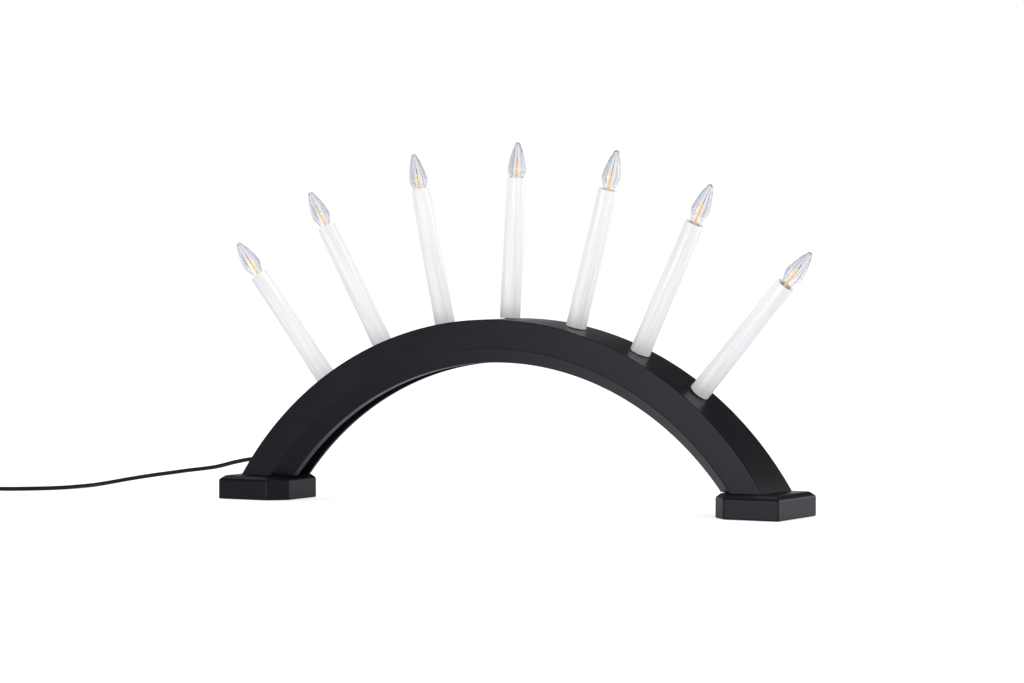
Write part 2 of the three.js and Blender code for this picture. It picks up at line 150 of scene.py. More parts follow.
lens = bpy.data.cameras.new("photo_camera")
lens.lens = cameraSetup["lens"]
lens.sensor_width = cameraSetup["sensor"]
lens.sensor_fit = "HORIZONTAL"
lens.clip_end = cameraSetup["clip"]
cameraObject = bpy.data.objects.new("photo_camera", lens)
cameraObject.location = cameraSetup["place"]
cameraObject.rotation_euler = (
    math.radians(90 + cameraSetup["pitch"]), 0, math.radians(cameraSetup["yaw"]))
scene.collection.objects.link(cameraObject)
scene.camera = cameraObject
print("camera set")


# Satin nitrocellulose lacquer sprayed over sanded timber: near black, faintly violet, with a slight orange
# peel that breaks up the reflections, drawn at 3 mm so that it shows
lacquerLook = {
    "dark": "#100f15", "light": "#16151b", "cloud": 30.0, "hazeFrom": (0.3, 0.7), "roughness": (0.29, 0.36),
    "peel": 3.0, "bump": 0.05, "bumpDepth": 0.4,
}

blackLacquer, tree, shader = newMaterial("satin_black_lacquer", {
    "Specular IOR Level": 0.28, "IOR": 1.5, "Specular Tint": "#e3e1ee"})
coords = addNode(tree, "ShaderNodeTexCoord").outputs["Object"]
cloud = addNode(tree, "ShaderNodeTexNoise", {
    "Vector": coords, "Scale": 1 / (lacquerLook["cloud"] * mm), "Detail": 3.0})
tint = addNode(tree, "ShaderNodeMix", {
    "Factor": cloud.outputs["Fac"],
    colourA: linear(lacquerLook["dark"]), colourB: linear(lacquerLook["light"])}, data_type="RGBA")
tree.links.new(tint.outputs[colourOut], shader.inputs["Base Color"])
hazeLow, hazeHigh = lacquerLook["hazeFrom"]
haze = addNode(tree, "ShaderNodeMapRange", {
    "Value": cloud.outputs["Fac"], "From Min": hazeLow, "From Max": hazeHigh,
    "To Min": lacquerLook["roughness"][0], "To Max": lacquerLook["roughness"][1]})
tree.links.new(haze.outputs["Result"], shader.inputs["Roughness"])
peel = addNode(tree, "ShaderNodeTexNoise", {
    "Vector": coords, "Scale": 1 / (lacquerLook["peel"] * mm), "Detail": 1.5})
bump = addNode(tree, "ShaderNodeBump", {
    "Height": peel.outputs["Fac"], "Strength": lacquerLook["bump"],
    "Distance": lacquerLook["bumpDepth"] * mm})
tree.links.new(bump.outputs["Normal"], shader.inputs["Normal"])

# Moulded white ABS, drawn off a long core, so its white varies in faint streaks along the tube
sleeveLook = {
    "light": "#f8f8f9", "dark": "#e9e8ea", "streakWidth": 2.2, "streakLength": 70.0, "contrast": (0.35, 0.65),
    "girth": 48.0, "height": 110.0,
}

whiteAbs, tree, shader = newMaterial("moulded_white_abs", {
    "IOR": 1.5, "Roughness": 0.38, "Specular IOR Level": 0.4})
uv = addNode(tree, "ShaderNodeTexCoord").outputs["UV"]
stretch = addNode(tree, "ShaderNodeMapping", {"Vector": uv, "Scale": (
    sleeveLook["girth"] / sleeveLook["streakWidth"], sleeveLook["height"] / sleeveLook["streakLength"], 1.0)})
streak = addNode(tree, "ShaderNodeTexNoise", {
    "Vector": stretch.outputs["Vector"], "Scale": 1.0, "Detail": 2.0})
faint, full = sleeveLook["contrast"]
spread = addNode(tree, "ShaderNodeMapRange", {
    "Value": streak.outputs["Fac"], "From Min": faint, "From Max": full})
tint = addNode(tree, "ShaderNodeMix", {
    "Factor": spread.outputs["Result"],
    colourA: linear(sleeveLook["light"]), colourB: linear(sleeveLook["dark"])}, data_type="RGBA")
tree.links.new(tint.outputs[colourOut], shader.inputs["Base Color"])

# Plain finishes: a base, a cloud of a second tone at a real size, and a grit drawn coarse enough to show
gritDepth = 0.2
plainLooks = {
    # dull cream, slightly uneven
    "moulded_cream_urea": {"base": "#f1eada", "second": "#e8dfc9", "cloud": 6.0, "grit": 0.6, "bump": 0.04,
                           "sockets": {"Roughness": 0.48, "IOR": 1.5}},
    # pale gold, with soft reflections
    "rolled_brass": {"base": "#dcc68f", "second": "#c9ad72", "cloud": 3.0, "grit": 0.5, "bump": 0.05,
                     "sockets": {"Roughness": 0.3, "Metallic": 1.0}},
    # powdery amber, with a faint painted glow though the bulb is switched off
    "led_phosphor": {"base": "#ffdd98", "second": "#ffcf7e", "cloud": 1.2, "grit": 0.4, "bump": 0.05,
                     "sockets": {"Roughness": 0.6, "Emission Color": "#ffc25e", "Emission Strength": 0.3}},
    # dull grey line
    "drawn_nickel_wire": {"base": "#8f8a83", "second": "#7a756e", "cloud": 2.0, "grit": 0.5, "bump": 0.03,
                          "sockets": {"Roughness": 0.4, "Metallic": 1.0}},
    # milky, smooth and bright at the foot of the filament
    "pressed_glass_mount": {"base": "#e4e1dc", "second": "#d3cfc8", "cloud": 2.0, "grit": 0.5, "bump": 0.02,
                            "sockets": {"Roughness": 0.2, "IOR": 1.5}},
    # soft black with a weak sheen
    "extruded_black_pvc": {"base": "#141416", "second": "#19191c", "cloud": 9.0, "grit": 0.8, "bump": 0.05,
                           "sockets": {"Roughness": 0.55, "IOR": 1.53, "Specular IOR Level": 0.22}},
    # cool grey, fairly bright
    "plated_steel": {"base": "#b9bbbe", "second": "#a4a6a9", "cloud": 4.0, "grit": 0.6, "bump": 0.04,
                     "sockets": {"Roughness": 0.3, "Metallic": 1.0}},
}
finishes = {}
for name, look in plainLooks.items():
    finishes[name], tree, shader = newMaterial(name, look["sockets"])
    coords = addNode(tree, "ShaderNodeTexCoord").outputs["Object"]
    cloud = addNode(tree, "ShaderNodeTexNoise", {
        "Vector": coords, "Scale": 1 / (look["cloud"] * mm), "Detail": 2.0})
    tint = addNode(tree, "ShaderNodeMix", {
        "Factor": cloud.outputs["Fac"],
        colourA: linear(look["base"]), colourB: linear(look["second"])}, data_type="RGBA")
    tree.links.new(tint.outputs[colourOut], shader.inputs["Base Color"])
    grit = addNode(tree, "ShaderNodeTexNoise", {
        "Vector": coords, "Scale": 1 / (look["grit"] * mm), "Detail": 1.0})
    bump = addNode(tree, "ShaderNodeBump", {
        "Height": grit.outputs["Fac"], "Strength": look["bump"], "Distance": gritDepth * mm})
    tree.links.new(bump.outputs["Normal"], shader.inputs["Normal"])

# Soda-lime glass blown in a ribbed mould: clear and smooth, so it shows as edge lines and bent streaks, with
# a painted grey line of shade down each valley, tinting the glass there. Lamps shine through to what is
# inside
glassLook = {
    "colour": "#fefeff", "valley": "#c2c2cb", "shadeLine": (0.55, 0.95), "roughness": 0.0,
    "smoke": "#d9d8e0", "density": 430.0,
}

clearGlass, tree, shader = newMaterial("blown_clear_glass", {
    "Roughness": glassLook["roughness"], "IOR": 1.5, "Specular IOR Level": 0.08, "Transmission Weight": 1.0})
valley = addNode(tree, "ShaderNodeAttribute", attribute_name="valley").outputs["Fac"]
# Painted shade: the grey valley colour is mixed in along the valleys, darkening the glass in lines
shadeLineStart, shadeLineEnd = glassLook["shadeLine"]
shadeLine = addNode(tree, "ShaderNodeMapRange", {
    "Value": valley, "From Min": shadeLineStart, "From Max": shadeLineEnd}, interpolation_type="SMOOTHSTEP")
tint = addNode(tree, "ShaderNodeMix", {
    "Factor": shadeLine.outputs["Result"],
    colourA: linear(glassLook["colour"]), colourB: linear(glassLook["valley"])}, data_type="RGBA")
tree.links.new(tint.outputs[colourOut], shader.inputs["Base Color"])
rays = addNode(tree, "ShaderNodeLightPath").outputs
passing = addNode(tree, "ShaderNodeMath", {
    0: rays["Is Shadow Ray"], 1: rays["Is Diffuse Ray"]}, operation="MAXIMUM")
letThrough = addNode(tree, "ShaderNodeBsdfTransparent")
mixed = addNode(tree, "ShaderNodeMixShader", {
    0: passing.outputs[0], 1: shader.outputs["BSDF"], 2: letThrough.outputs["BSDF"]})
materialEnd = tree.nodes["Material Output"].inputs
tree.links.new(mixed.outputs["Shader"], materialEnd["Surface"])
smoke = addNode(tree, "ShaderNodeVolumeAbsorption", {
    "Color": linear(glassLook["smoke"]), "Density": glassLook["density"]})
tree.links.new(smoke.outputs["Volume"], materialEnd["Volume"])
print("materials made")


# Cord: one lead from the grip behind the left leg, along the floor out of the view, into its coil and plug
cordSetup = {
    "diameter": 3.4, "length": 1.86, "roundness": 3, "routeSpacing": 2.5,
    "outlet": (-212.39, 26.0, 29.5), "outletTurn": 41.0, "gripEnd": 24.0, "straightOut": 3, "straightIn": 5,
    "route": [
        (-234, 51, 29.3), (-248, 57.5, 28.4), (-264, 60, 27.3), (-280, 61.5, 25.9), (-300, 68, 22.5),
        (-326, 77, 17.1), (-358, 82, 12.8), (-375, 82, 10.3), (-390, 80, 8.1), (-403.5, 75, 5.8),
        (-412.5, 66, 3.9), (-417.5, 53, 2.4), (-417.5, 35, 1.8), (-416.5, 14, 1.8), (-421, -13, 1.8),
        (-436, -34, 1.8), (-456, -49, 1.9),
    ],
    "coilCentre": (-497.0, -46.0), "coilHeading": -143.5, "coilInner": 14.5, "layers": 4, "turns": 11.25,
    "turnGap": 0.55, "halfClimb": 0.25, "coilPoints": 540,
    "tieThickness": 0.8, "tieWidth": 6.0, "tieAngle": -233.5, "tieCorners": (1.6, 2.4), "gap": 0.3,
    "tail": 42.0, "tailSteps": 16, "plugThickness": 13.7, "intoPlug": 28.0,
}
cordRadius = cordSetup["diameter"] / 2
turnPitch = cordSetup["diameter"] + cordSetup["turnGap"]
perLayer = cordSetup["turns"] / cordSetup["layers"]
coilRise = turnPitch * perLayer
coilFloor = cordRadius + cordSetup["tieThickness"] + cordSetup["gap"]
coilHeading = math.radians(cordSetup["coilHeading"])
outletTurn = math.radians(cordSetup["outletTurn"])
outletWay = Vector((-math.sin(outletTurn), math.cos(outletTurn), 0))
gripEnd = Vector(cordSetup["outlet"]) + outletWay * cordSetup["gripEnd"]


def smoothRoute(points, spacing):
    ends = [points[0] * 2 - points[1], *points, points[-1] * 2 - points[-2]]
    route = [points[0]]
    for a, b, c, d in zip(ends, ends[1:], ends[2:], ends[3:]):
        before, span, after = [(q - p).length ** 0.5 for p, q in ((a, b), (b, c), (c, d))]
        leave = ((b - a) / before - (c - a) / (before + span) + (c - b) / span) * span
        arrive = ((c - b) / span - (d - b) / (span + after) + (d - c) / after) * span
        steps = max(1, round((c - b).length / spacing))
        for k in range(1, steps + 1):
            s = k / steps
            route.append(b * (2 * s ** 3 - 3 * s ** 2 + 1) + leave * (s ** 3 - 2 * s ** 2 + s)
                         + c * (3 * s ** 2 - 2 * s ** 3) + arrive * (s ** 3 - s ** 2))
    return route


# Layers are wound inwards and outwards in turn, and the lead climbs to the next one where it turns back
def coilPoint(turns):
    layer = min(cordSetup["layers"] - 1, int(turns / perLayer))
    share = turns / perLayer - layer
    radius = cordSetup["coilInner"] + coilRise * (share if layer % 2 else 1 - share)
    climb = layer
    for turnBack in (layer, layer + 1):
        away = turns - turnBack * perLayer
        if 0 < turnBack < cordSetup["layers"] and abs(away) < cordSetup["halfClimb"]:
            climb = turnBack - 0.5 + away / (2 * cordSetup["halfClimb"])
    angle = coilHeading + math.pi / 2 - 2 * math.pi * turns
    x, y = cordSetup["coilCentre"]
    return Vector((x + radius * math.cos(angle), y + radius * math.sin(angle), coilFloor + turnPitch * climb))


coilPoints = cordSetup["coilPoints"]
loops = [coilPoint(cordSetup["turns"] * k / coilPoints) for k in range(coilPoints + 1)]
arrival = Vector((math.cos(coilHeading), math.sin(coilHeading), 0))
lastOut = loops[-1] - Vector((*cordSetup["coilCentre"], loops[-1].z))
leaving = Vector((lastOut.y, -lastOut.x, 0)).normalized()
coilStart = loops[0] - arrival * cordSetup["diameter"]
coilEnd = loops[-1] + leaving * cordSetup["diameter"]
freeRoute = smoothRoute([
    gripEnd, gripEnd + outletWay * (cordSetup["straightOut"] * cordRadius),
    *[Vector(point) for point in cordSetup["route"]],
    coilStart - arrival * (cordSetup["straightIn"] * cordRadius), coilStart], cordSetup["routeSpacing"])
tailRoute = []
for k in range(1, cordSetup["tailSteps"] + 1):
    share = k / cordSetup["tailSteps"]
    point = coilEnd + leaving * (cordSetup["gap"] + cordSetup["tail"] * share)
    point.z += (cordSetup["plugThickness"] / 2 - point.z) * easeInOut(share)
    tailRoute.append(point)
plugStart = tailRoute[-1] + leaving * cordSetup["gap"]
cordLine = [*freeRoute, *loops, coilEnd, *tailRoute, plugStart, plugStart + leaving * cordSetup["intoPlug"]]

curve = bpy.data.curves.new("cord", "CURVE")
curve.dimensions = "3D"
curve.bevel_depth = cordRadius * mm
curve.bevel_resolution = cordSetup["roundness"]
curve.use_fill_caps = True
spline = curve.splines.new("POLY")
spline.points.add(len(cordLine) - 1)
for target, point in zip(spline.points, cordLine):
    target.co = (*(point * mm), 1)
spline.use_smooth = True
curve.materials.append(finishes["extruded_black_pvc"])
cordPiece = bpy.data.objects.new("mains_cord", curve)
scene.collection.objects.link(cordPiece)
settle(cordPiece, "candle_arch", "black_pvc", "cord", "cord_coil", "cord_tail")
cordLength = sum((b - a).length for a, b in zip(cordLine, cordLine[1:])) * mm
print("cord laid,", round(cordLength, 3), "m")


# Turned shape from (radius, height) points in millimetres, the outside going up, with a wrap-round UV map
def turnedMesh(name, profile, segments, place, closedLoop=False, bands=None):
    shell = bmesh.new()
    wrap = shell.loops.layers.uv.new("wrap")
    low = min(z for _, z in profile)
    high = max(z for _, z in profile)
    rings = []
    for r, z in profile:
        ring = []
        for k in range(segments if r > 0 else 1):
            angle = 2 * math.pi * k / segments
            ring.append(shell.verts.new(place @ Vector((
                r * math.cos(angle) * mm, r * math.sin(angle) * mm, z * mm))))
        rings.append(ring)
    pairs = list(range(len(rings) - 1)) + ([-1] if closedLoop else [])
    for i in pairs:
        lower, upper = rings[i], rings[i + 1]
        for k in range(segments):
            corners = [(lower, k, i), (lower, k + 1, i), (upper, k + 1, i + 1), (upper, k, i + 1)]
            if len(lower) == 1:
                corners.pop(0)
            elif len(upper) == 1:
                corners.pop(2)
            face = shell.faces.new([ring[n % len(ring)] for ring, n, _ in corners])
            face.smooth = True
            face.material_index = bands[i] if bands else 0
            for loop, (_, n, level) in zip(face.loops, corners):
                loop[wrap].uv = (n / segments, (profile[level][1] - low) / (high - low))
    return meshFrom(shell, name)


# Skin over a stack of rings of equal count, closed at both ends
def loftMesh(name, rings):
    shell = bmesh.new()
    rows = [[shell.verts.new(point) for point in ring] for ring in rings]
    for lower, upper in zip(rows, rows[1:]):
        for k in range(len(lower)):
            n = (k + 1) % len(lower)
            shell.faces.new((lower[k], lower[n], upper[n], upper[k])).smooth = True
    shell.faces.new(list(reversed(rows[0])))
    shell.faces.new(rows[-1])
    bmesh.ops.recalc_face_normals(shell, faces=shell.faces)
    return meshFrom(shell, name)


# Arch: a section with eased arrises, swept over the arc so that both legs end level above the feet
archSetup = {
    "outerRadius": 275.0, "centreDrop": 127.3, "depth": 52.0, "thickness": 34.0,
    "bevelAcross": 12.8, "bevelHeight": 11.4, "frontRim": 8.3, "rearRim": 3.3, "grooveDepth": 20.0,
    "arris": 0.7, "arrisSteps": 3, "seat": 19.3, "steps": 160,
}
half = archSetup["depth"] / 2
floorHalf = half - archSetup["bevelAcross"]
outerRadius = archSetup["outerRadius"]
innerRadius = outerRadius - archSetup["thickness"]
bevelTop = innerRadius + archSetup["bevelHeight"]
grooveTop = innerRadius + archSetup["grooveDepth"]
grooveFront, grooveRear = archSetup["frontRim"] - floorHalf, floorHalf - archSetup["rearRim"]
section = [Vector(point) for point in (
    (outerRadius, -half), (outerRadius, half), (bevelTop, half), (innerRadius, floorHalf),
    (innerRadius, grooveRear), (grooveTop, grooveRear), (grooveTop, grooveFront), (innerRadius, grooveFront),
    (innerRadius, -floorHalf), (bevelTop, -half))]


def easedOutline(points, radius, pieces):
    outline = []
    for before, corner, after in zip(points[-1:] + points[:-1], points, points[1:] + points[:1]):
        start = corner + (before - corner).normalized() * radius
        end = corner + (after - corner).normalized() * radius
        for k in range(pieces + 1):
            s = k / pieces
            outline.append(start * (1 - s) ** 2 + corner * (2 * s * (1 - s)) + end * s ** 2)
    return outline


def legAngle(radius, height):
    return math.acos((height + archSetup["centreDrop"]) / radius)


def archPoint(radius, angle, y):
    return Vector((radius * math.sin(angle), y, radius * math.cos(angle) - archSetup["centreDrop"]))


outline = easedOutline(section, archSetup["arris"], archSetup["arrisSteps"])
archRings = []
for step in range(archSetup["steps"] + 1):
    share = 2 * step / archSetup["steps"] - 1
    archRings.append([archPoint(radius, share * legAngle(radius, archSetup["seat"]), y) * mm
                      for radius, y in outline])
archPiece = addPiece("arch_timber", loftMesh("arch_timber", archRings), [blackLacquer])
archPiece.modifiers.new("flat_faces", "WEIGHTED_NORMAL").keep_sharp = True
settle(bakeModifiers(archPiece), "candle_arch", "black_lacquer", "arch")
print("arch bent")


# Feet: blocks with clipped inner corners, a planed upper edge, eased arrises and countersunk holes
footSetup = {
    "outerX": 249.5, "innerX": 190.5, "depth": 67.6, "height": 19.0, "clip": 13.0,
    "bevelAcross": 4.0, "bevelHeight": 3.1, "arris": 1.1, "arrisSteps": 3, "arrisAngle": 20,
    "screwX": 212.2, "screwY": 17.95, "screwHead": 3.8, "screwHole": 1.9, "screwSink": 1.5, "headDepth": 2.6,
    "holePlay": 0.3, "holeFrom": -2, "holeTo": 15, "holeFacets": 32,
}


def footRing(inset, z, side):
    diagonal = footSetup["clip"] + inset * (math.sqrt(2) - 1)
    out, inn, deep = footSetup["outerX"] - inset, footSetup["innerX"] + inset, footSetup["depth"] / 2 - inset
    corner, flank = footSetup["innerX"] + diagonal, footSetup["depth"] / 2 - diagonal
    return [Vector((side * x, y, z)) * mm for x, y in (
        (out, -deep), (out, deep), (corner, deep), (inn, flank), (inn, -flank), (corner, -deep))]


wide = footSetup["screwHead"] + footSetup["holePlay"]
narrow = footSetup["screwHole"] + footSetup["holePlay"]
sinkShape = [
    (0, footSetup["holeFrom"]), (wide, footSetup["holeFrom"]), (wide, footSetup["screwSink"]),
    (narrow, footSetup["screwSink"] + footSetup["headDepth"]), (narrow, footSetup["holeTo"]),
    (0, footSetup["holeTo"])]
for side, name in ((-1, "left_foot"), (1, "right_foot")):
    rings = [footRing(0, 0, side), footRing(0, footSetup["height"] - footSetup["bevelHeight"], side),
             footRing(footSetup["bevelAcross"], footSetup["height"], side)]
    foot = addPiece(name + "_block", loftMesh(name, rings), [blackLacquer])
    ease = foot.modifiers.new("eased_arrises", "BEVEL")
    ease.width = footSetup["arris"] * mm
    ease.segments = footSetup["arrisSteps"]
    ease.limit_method = "ANGLE"
    ease.angle_limit = math.radians(footSetup["arrisAngle"])
    sinks = []
    for y in (-footSetup["screwY"], footSetup["screwY"]):
        place = Matrix.Translation(Vector((side * footSetup["screwX"], y, 0)) * mm)
        sinkMesh = turnedMesh("countersink", sinkShape, footSetup["holeFacets"], place)
        sink = addPiece("countersink", sinkMesh, [blackLacquer])
        cut = foot.modifiers.new("countersink", "BOOLEAN")
        cut.operation = "DIFFERENCE"
        cut.object = sink
        sinks.append(sink)
    foot.modifiers.new("flat_faces", "WEIGHTED_NORMAL").keep_sharp = True
    bakeModifiers(foot)
    for sink in sinks:
        bpy.data.objects.remove(sink)
    settle(foot, "candle_arch", "black_lacquer", name)
print("feet cut")


# Foot screws: a countersunk head with a cross recess and its shank, on the corners of a rectangle
screwSetup = {
    "Spread X": 424.4, "Spread Y": 35.9, "Head Radius": 3.8, "Head Depth": 2.6, "Shank Radius": 1.9,
    "Shank Length": 35.0, "Shank Lap": 1.0, "Point Radius": 0.4, "Slot Width": 1.0, "Slot Depth": 1.6,
    "Second Depth": 1.7, "Sink": 1.5,
}
screwFacets = 32

screwTree, screwKeys = newTree("foot_screws", screwSetup)
given = addNode(screwTree, "NodeGroupInput").outputs
grid = addNode(screwTree, "GeometryNodeMeshGrid", {
    "Size X": given["Spread X"], "Size Y": given["Spread Y"], "Vertices X": 2, "Vertices Y": 2})
head = addNode(screwTree, "GeometryNodeMeshCone", {
    "Vertices": screwFacets, "Radius Top": given["Shank Radius"], "Radius Bottom": given["Head Radius"],
    "Depth": given["Head Depth"]})
shank = addNode(screwTree, "GeometryNodeMeshCone", {
    "Vertices": screwFacets, "Radius Top": given["Point Radius"], "Radius Bottom": given["Shank Radius"],
    "Depth": given["Shank Length"]})
shankFoot = addNode(screwTree, "ShaderNodeMath", {
    0: given["Head Depth"], 1: given["Shank Lap"]}, operation="SUBTRACT")
lift = addNode(screwTree, "ShaderNodeCombineXYZ", {"Z": shankFoot.outputs[0]})
raised = addNode(screwTree, "GeometryNodeTransform", {
    "Geometry": shank.outputs["Mesh"], "Translation": lift.outputs[0]})
screw = addNode(screwTree, "GeometryNodeMeshBoolean", operation="UNION", solver="EXACT")
screwTree.links.new(head.outputs["Mesh"], screw.inputs["Mesh 2"])
screwTree.links.new(raised.outputs[0], screw.inputs["Mesh 2"])
crossSlots = (("Head Radius", "Slot Width", "Slot Depth"), ("Slot Width", "Head Radius", "Second Depth"))
for x, y, z in crossSlots:  # cut one after the other, to two depths, so that no faces coincide
    size = addNode(screwTree, "ShaderNodeCombineXYZ", {"X": given[x], "Y": given[y], "Z": given[z]})
    slot = addNode(screwTree, "GeometryNodeMeshCube", {"Size": size.outputs[0]})
    screw = addNode(screwTree, "GeometryNodeMeshBoolean", {
        "Mesh 1": screw.outputs["Mesh"], "Mesh 2": slot.outputs["Mesh"]},
        operation="DIFFERENCE", solver="EXACT")
sunk = addNode(screwTree, "ShaderNodeCombineXYZ", {"Z": given["Sink"]})
seated = addNode(screwTree, "GeometryNodeTransform", {
    "Geometry": screw.outputs["Mesh"], "Translation": sunk.outputs[0]})
placed = addNode(screwTree, "GeometryNodeInstanceOnPoints", {
    "Points": grid.outputs["Mesh"], "Instance": seated.outputs[0]})
closeTree(screwTree, placed.outputs[0], finishes["plated_steel"])
screwPiece = growPiece("foot_screws", screwTree, screwKeys, screwSetup)
settle(screwPiece, "candle_arch", "steel", "foot_screw_left_front", "foot_screw_left_rear",
       "foot_screw_right_front", "foot_screw_right_rear")
print("screws driven")


# Candles: an even fan of tapered sleeves, each leaning a little, with its bulb at its own height
candleSetup = {
    "pitch": 12.29, "lean": (-1.2, -4.9, 0.2, 3, 2.4, 0.6, 4.2), "y": 2.5, "spin": 1.3,
    "stand": (12.1, 10.7, 7.1, 5.9, 9.8, 11, 10.5),
    "length": 110.0, "baseRadius": 8.1, "topRadius": 7.15, "wall": 1.0, "lip": 0.35, "gap": 0.3,
    "lipSoft": 0.3, "outerSteps": 8, "innerSteps": 4, "facets": 72,
}
bulbSetup = {
    "glassLength": 35.0, "shoulder": 21.6, "turn": 8.0, "capFacets": 40, "coreFacets": 20, "threadFoot": -8.5,
    # turned outlines as (radius, height) above the cap's top: nib, bead, threaded skirt and rim of the cap
    "cap": [(0, -11.3), (1.9, -11.3), (1.9, -10.4), (3.2, -9.8), (3.85, -9.1), (4.35, -8.5), (4.35, -1.1),
            (4.75, -0.9), (4.75, -0.5), (4.55, -0.3), (0, -0.3)],
    "mount": [(0, 0), (1.7, 0), (1.7, 2.4), (1.02, 3.4), (0, 3.4)],
    "filament": [(0, 3.4), (0.77, 3.4), (1.1, 3.9), (1.1, 18.5), (0.77, 18.8), (0, 18.8)],
    "wire": [(0, 18.8), (0.3, 18.8), (0.3, 22.8), (0, 23.0)],
}

candlePlaces = []
middle = (len(candleSetup["lean"]) - 1) / 2
for i, lean in enumerate(candleSetup["lean"]):
    fan = math.radians((i - middle) * candleSetup["pitch"])
    standsAt = archPoint(outerRadius, fan, candleSetup["y"]) * mm
    candlePlaces.append(Matrix.Translation(standsAt) @ Matrix.Rotation(fan + math.radians(lean), 4, "Y"))
seats = [candleSetup["baseRadius"] * math.sin(math.radians(abs(lean))) + candleSetup["gap"]
         for lean in candleSetup["lean"]]
capTops = [seat + candleSetup["length"] + stand + bulbSetup["shoulder"] - bulbSetup["glassLength"]
           for seat, stand in zip(seats, candleSetup["stand"])]

base, top, wall, lip, tall = (candleSetup[k] for k in ("baseRadius", "topRadius", "wall", "lip", "length"))
soft = candleSetup["lipSoft"] * lip
outerSteps, innerSteps = candleSetup["outerSteps"], candleSetup["innerSteps"]
sleeveShape = [(base - wall, 0), (base - lip, 0), (base - soft, soft), (base, lip)]
sleeveShape += [(base + (top - base) * k / outerSteps, tall * k / outerSteps) for k in range(1, outerSteps)]
sleeveShape += [(top, tall - lip), (top - soft, tall - soft), (top - lip, tall), (top - wall + lip, tall),
                (top - wall + soft, tall - soft), (top - wall, tall - lip)]
sleeveShape += [(base - wall + (top - base) * k / innerSteps, tall * k / innerSteps)
                for k in range(innerSteps - 1, 0, -1)]
for n, (place, seat) in enumerate(zip(candlePlaces, seats), 1):
    spun = place @ Matrix.Translation((0, 0, seat * mm)) @ Matrix.Rotation(candleSetup["spin"] * n, 4, "Z")
    sleeveMesh = turnedMesh(f"sleeve_{n}", sleeveShape, candleSetup["facets"], spun, closedLoop=True)
    sleeve = addPiece(f"sleeve_{n}", sleeveMesh, [whiteAbs])
    settle(sleeve, "candle_arch", "white_plastic", f"candle_sleeve_{n}")
    for node, finish in ((f"lampholder_{n}", "moulded_cream_urea"), (f"centre_contact_{n}", "rolled_brass")):
        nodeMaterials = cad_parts[node].data.materials
        nodeMaterials.clear()
        nodeMaterials.append(finishes[finish])
print("sleeves set")


# Fluted glass: a grid rolled down the outside of the flame outline, with ribs that bulge between sharp
# valleys, and up again inside, where they are shallower, so that the ribs are thicker glass
glassSetup = {
    "Length": 35.0, "Radius": 7.15, "Shoulder": 21.6, "Neck Radius": 4.3, "Neck Length": 3.5,
    "Tip Radius": 1.4, "Tip Round": 1.4, "Flute Depth": 0.5, "Flute Fade": 6.0,
    "Wall": 0.7, "Cavity Top": 1.2,
}
glassGrid = {"flutes": 10, "innerFlutes": 0.9, "tipCurve": 1.55, "around": 121, "along": 129, "weld": 0.002}

